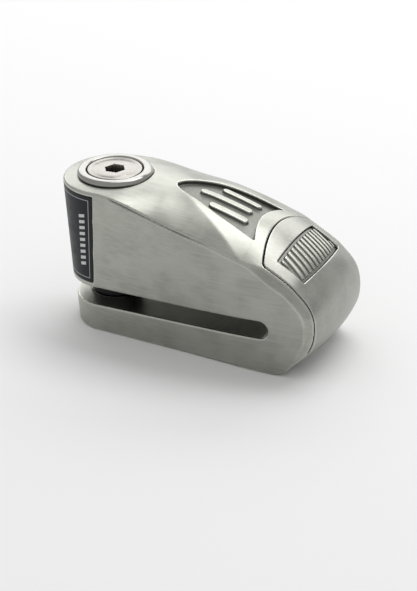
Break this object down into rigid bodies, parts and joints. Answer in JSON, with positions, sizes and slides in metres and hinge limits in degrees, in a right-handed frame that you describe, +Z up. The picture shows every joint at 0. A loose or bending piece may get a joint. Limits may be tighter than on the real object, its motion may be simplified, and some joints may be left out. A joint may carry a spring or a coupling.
{
  "type": "disc brake lock",
  "caption": "Brake-disc lock with alarm: raked metal body slotted for the disc, keyed push button driving a sleeved bolt across the slot, and a screwed-on nose cap.",
  "frame": {"origin": "middle of the flat underside, at the centre of the bounding box", "axes": "+X towards the nose cap, +Y to the lock's left, +Z up; the bolt axis leans 2.77 degrees back from +Z in the XZ plane"},
  "size_m": [0.1096, 0.0498, 0.0584],
  "materials": {
    "body_steel": "satin",
    "cap_steel": "satin",
    "polished_steel": "polished",
    "satin_steel": "satin",
    "spring_steel": "drawn",
    "brass": "machined",
    "black_sleeve": "semi-gloss",
    "rubber": "matt",
    "label_film": "printed film",
    "tray_plastic": "moulded",
    "circuit_board": "solder mask",
    "cell_wrap": "shrink wrap"
  },
  "bodies": {
    "lock_body": {"body": "body_steel", "nose_cap": "cap_steel", "cap_plate": "body_steel", "cap_gasket": "rubber", "cap_screw_left": "polished_steel", "cap_screw_right": "polished_steel", "label": "label_film", "guide_pin": "polished_steel", "jaw_bush": "polished_steel", "neck_seal": "rubber", "return_spring": "spring_steel", "alarm_tray": "tray_plastic", "alarm_board": "circuit_board", "sounder": "black_sleeve", "battery": "cell_wrap", "battery_contact_left": "spring_steel", "battery_contact_right": "spring_steel", "motion_sensor": "polished_steel", "arming_switch": "black_sleeve", "tray_screw_left": "polished_steel", "tray_screw_right": "polished_steel"},
    "bolt_carriage": {"barrel": "brass", "button_ring": "polished_steel", "bolt": "polished_steel", "bolt_sleeve": "black_sleeve", "bolt_screw": "polished_steel"},
    "key_rotor": {"key_face": "satin_steel", "dust_shutter": "black_sleeve", "disc_carrier": "brass", "cam": "brass", "detainer_disc_1": "brass", "detainer_disc_2": "brass", "detainer_disc_3": "brass", "detainer_disc_4": "brass", "detainer_disc_5": "brass", "detainer_disc_6": "brass", "disc_spacer_1": "spring_steel", "disc_spacer_2": "spring_steel", "disc_spacer_3": "spring_steel", "disc_spacer_4": "spring_steel", "disc_spacer_5": "spring_steel"},
    "dog_left": {"locking_dog_left": "polished_steel"},
    "dog_right": {"locking_dog_right": "polished_steel"},
    "plunger": {"arming_plunger": "polished_steel"}
  },
  "joints": [
    {"name": "bolt_slide", "type": "slide", "parent": "lock_body", "child": "bolt_carriage", "axis": [-0.0483, 0, 0.9988], "range_m": [0, 0.0145], "deforming": ["return_spring"]},
    {"name": "key_turn", "type": "hinge", "parent": "bolt_carriage", "child": "key_rotor", "pos_m": [-0.0354, 0, 0.04528], "axis": [0.0483, 0, -0.9988], "range_deg": [0, 90]},
    {"name": "dog_left_slide", "type": "slide", "parent": "bolt_carriage", "child": "dog_left", "axis": [0, 1, 0], "range_m": [0, 0.0016]},
    {"name": "dog_right_slide", "type": "slide", "parent": "bolt_carriage", "child": "dog_right", "axis": [0, -1, 0], "range_m": [0, 0.0016]},
    {"name": "arming_slide", "type": "slide", "parent": "lock_body", "child": "plunger", "axis": [-0.9988, 0, -0.0483], "range_m": [0, 0.001]}
  ],
  "couplings": [
    {"joint": "dog_left_slide", "follows": "key_turn", "m_per_rad": 0.001018},
    {"joint": "dog_right_slide", "follows": "key_turn", "m_per_rad": 0.001018},
    {"joint": "arming_slide", "follows": "bolt_slide", "ratio": 0.0689}
  ]
}
